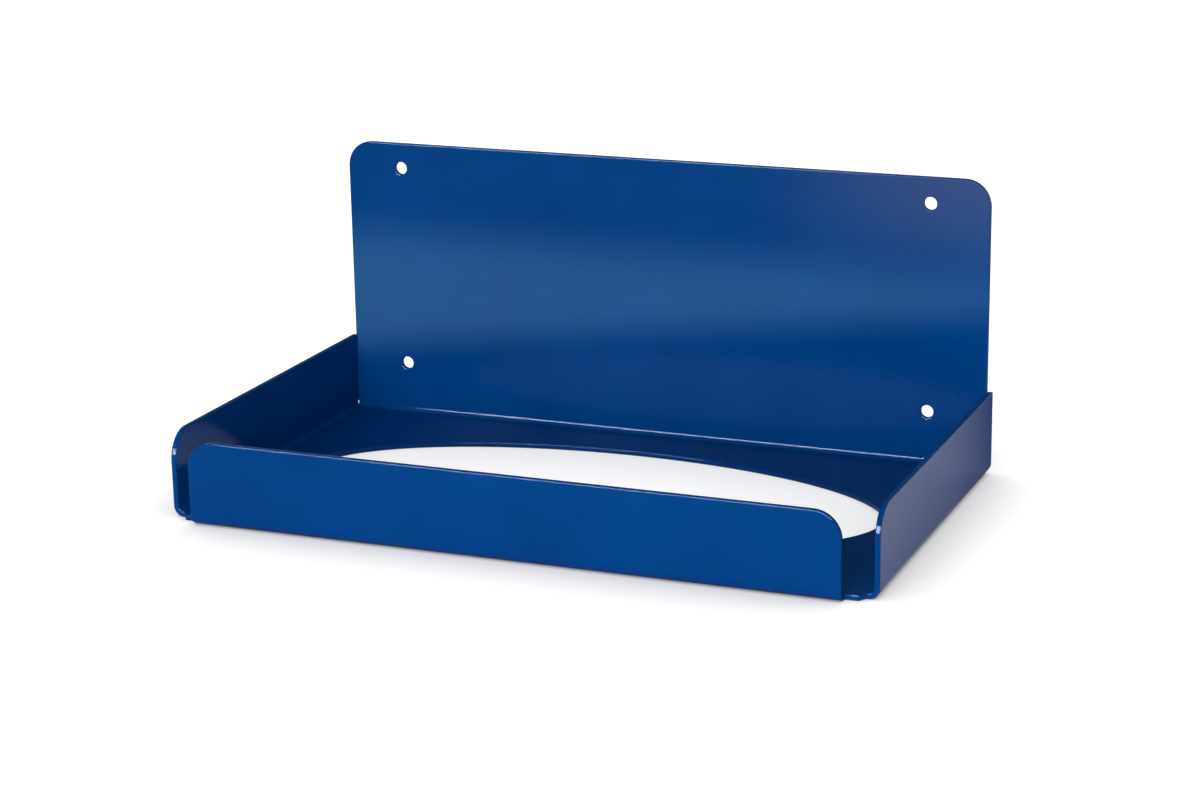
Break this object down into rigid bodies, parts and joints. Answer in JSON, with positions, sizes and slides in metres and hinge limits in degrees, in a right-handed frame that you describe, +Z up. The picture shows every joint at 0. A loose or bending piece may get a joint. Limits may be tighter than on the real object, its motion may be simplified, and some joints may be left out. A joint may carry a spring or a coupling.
{
  "type": "paper towel dispenser",
  "caption": "Shallow wall-mounted tray folded from sheet metal, with a tall drilled back plate, low side walls, a front lip and a long oval opening in its floor for pulling paper towels down.",
  "frame": {"origin": "centre of the four screw holes, on the face of the back plate that lies against the wall", "axes": "+X to the right as seen from the room, +Y into the wall, +Z up"},
  "size_m": [0.4, 0.2325, 0.168],
  "materials": {
    "powder_coat": "glossy blue powder coat with fine orange peel"
  },
  "bodies": {
    "root": {"dispenser_tray": "powder_coat"}
  },
  "joints": []
}
